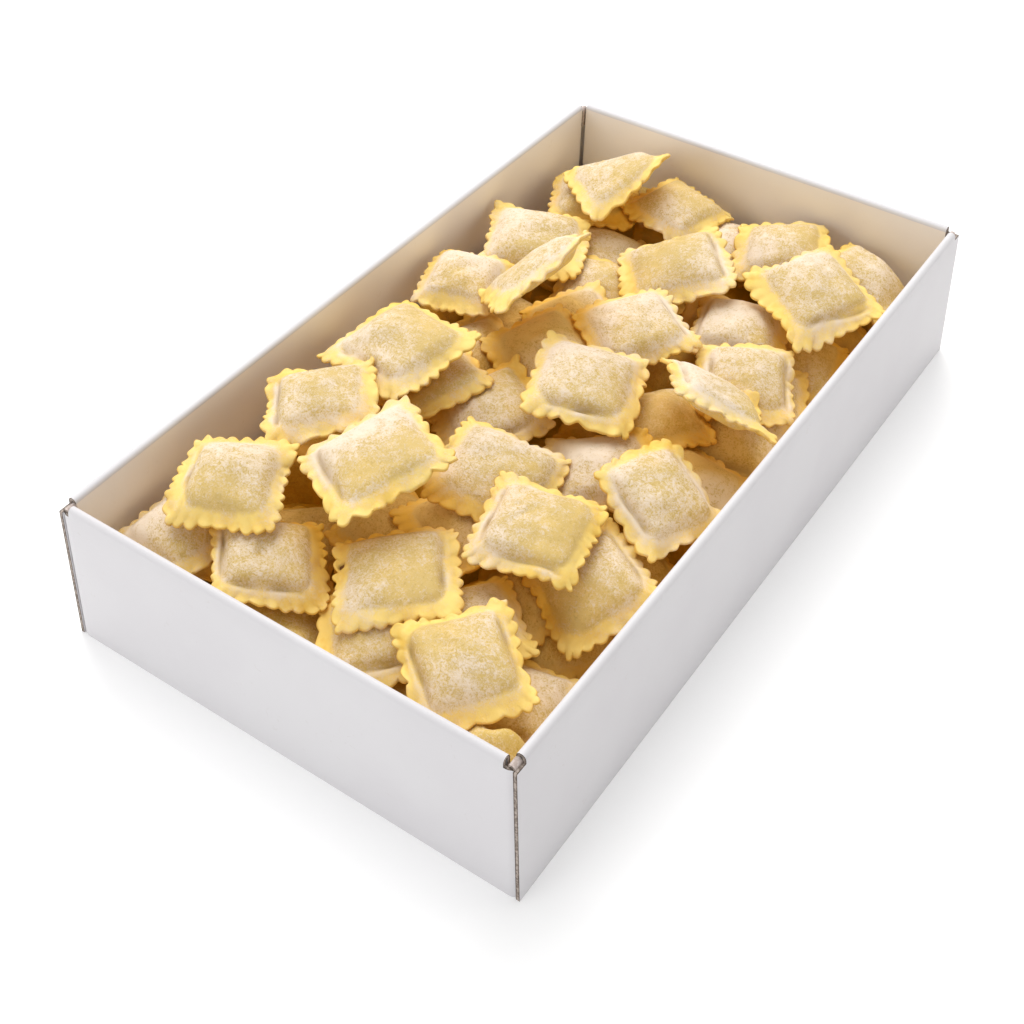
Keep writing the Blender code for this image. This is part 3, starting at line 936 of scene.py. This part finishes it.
def filling_places(chance):
    """(x, y, height, turn, room above) of each raviolo under those that show, from the bottom.
    The middle layer lies over the gaps of the lowest."""
    for columns, rows, height in UNDER_LAYERS:
        for column in range(columns):
            for row in range(rows):
                x = (column - (columns - 1) / 2 + chance.uniform(-0.15, 0.15)) * UNDER_PITCH[0]
                y = (row - (rows - 1) / 2 + chance.uniform(-0.15, 0.15)) * UNDER_PITCH[1]
                yield x, y, height, chance.uniform(-0.5, 0.5), 8 * MM
    # two more fill the near corners
    yield 68 * MM, -142 * MM, 38 * MM, 0.30, 3 * MM
    yield -70 * MM, -140 * MM, 36 * MM, -0.25, 3 * MM


def bed(chance):
    """The bottom of the heap, too far down to make out, as one more (shape, top, under)."""
    u, v = grid(UNDER_CELLS)
    height = BED_TOP + 2 * MM * noise_field(u, v, chance, 6, 20)
    top = np.dstack([u * WIDTH / 2, v * LENGTH / 2, height])
    under = top.copy()
    under[..., 2] = BED_FOOT
    none = np.zeros_like(u)
    shape = {"out": none, "pillow": none + 0.5, "flour": none, "groove": none}
    return shape, inside_walls(top), inside_walls(under)


def lay_filling(heap, ceiling):
    """The ravioli under those that show, laid in loose layers: (shape, top, under) of each."""
    chance = np.random.default_rng(7)
    laid = [bed(chance)]
    for x, y, base, turn, room in filling_places(chance):
        half = chance.uniform(20.5, 23) * MM
        shape = raviolo(chance, UNDER_CELLS, chance.uniform(0.8, 1.1))
        across = np.array([math.cos(turn), math.sin(turn)]) * half
        along = np.array([-math.sin(turn), math.cos(turn)]) * half
        place = shape["x"][..., None] * across + shape["y"][..., None] * along + (x, y)
        tilt = chance.uniform(-0.1, 0.1, 2)
        level = base + place @ tilt - np.dot(tilt, (x, y))
        top = inside_walls(np.dstack([place, level + shape["top"]]))
        under = inside_walls(np.dstack([place, level + shape["under"]]))
        bend_over(top, under, shape["out"], heap, DROOP_UNDER)
        # pressed down where it would come up among those that show
        over = np.clip(top[..., 2] - (ceiling.at(top) - room), 0, 60 * MM)
        press = np.maximum(blurred(widened(over, 1), 2), over)
        for surface in (top, under):
            surface[..., 2] = np.maximum(surface[..., 2] - press, BED_FOOT)
        heap.add(top)
        flour = chance.uniform(0.05, 0.6)
        shape["flour"] = flour + 0.12 * noise_field(shape["x"], shape["y"], chance, 4, 4)
        laid.append((shape, top, under))
    return laid


def make_filling(laid, heap, level):
    """The ravioli under those that show, as one piece."""
    faces, points, all_faces, values = closed_faces(UNDER_CELLS), [], [], {}
    for number, (shape, top, under) in enumerate(laid):
        points += [top.reshape(-1, 3), under[1:-1, 1:-1].reshape(-1, 3)]
        all_faces.append(faces + number * (faces.max() + 1))
        for key, value in finish_values(shape, top, under, heap, level).items():
            values.setdefault(key, []).append(value)
    values = {key: np.concatenate(value) for key, value in values.items()}
    made = mesh_object(
        "ravioli_under", np.concatenate(points), np.concatenate(all_faces), values, (SHADE,)
    )
    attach(made, "root")
    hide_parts("heap_inside")


# ---------------------------------------------------------------- studio


def area_light(name, where, target, size, power, colour=(1, 1, 1)):
    """A rectangular lamp: place, target and size in metres, power in watts."""
    data = bpy.data.lights.new(name, "AREA")
    data.shape = "RECTANGLE"
    data.size, data.size_y = size
    data.energy = power
    data.color = colour
    made = bpy.data.objects.new(name, data)
    SCENE.collection.objects.link(made)
    made.location = where
    towards = Vector(target) - made.location
    made.rotation_euler = towards.to_track_quat("-Z", "Y").to_euler()


def studio():
    white = Finish("studio_floor")
    shade = white.blend(white.noise(0.4, 2) * 0.05, (0.90, 0.90, 0.90), (0.86, 0.86, 0.87))
    white.end(shade, 0.9, Emission_Color=(1.0, 1.0, 1.0), Emission_Strength=0.185)
    floor = mesh_object(
        "studio_floor",
        np.array([(-6, -6, 0), (6, -6, 0), (6, 6, 0), (-6, 6, 0)], float),
        [(0, 1, 2, 3)],
        None,
        (white.material,),
    )
    world = bpy.data.worlds.new("studio")
    SCENE.world = world
    world.use_nodes = True
    world.node_tree.nodes["Background"].inputs["Color"].default_value = (1, 1, 1, 1)
    world.node_tree.nodes["Background"].inputs["Strength"].default_value = 0.51
    middle = (0, 0, 0.03)
    area_light("window", (-0.9, 1.0, 1.5), middle, (1.4, 1.4), 26.5, (1.0, 0.985, 0.96))
    area_light("overhead", (-0.3, 0.1, 1.8), middle, (1.0, 1.0), 10)
    area_light("front_fill", (-0.7, -1.6, 0.7), middle, (1.2, 0.8), 6.8)
    area_light("far_fill", (0.9, 0.75, 0.5), (0.1, 0.12, 0.03), (0.6, 0.6), 1.4, (1.0, 0.93, 0.86))
    SCENE.view_settings.view_transform = "Standard"


def camera():
    """Over the near right corner, looking 45.13 degrees down."""
    data = bpy.data.cameras.new("camera")
    data.sensor_width = 36
    data.lens = 50.22
    made = bpy.data.objects.new("camera", data)
    SCENE.collection.objects.link(made)
    made.location = (0.22895, -0.36276, 0.40932)
    made.rotation_euler = Euler((math.radians(90 - 45.13), 0, math.radians(34.57)))
    SCENE.camera = made


make_carton()
make_heap()
studio()
camera()
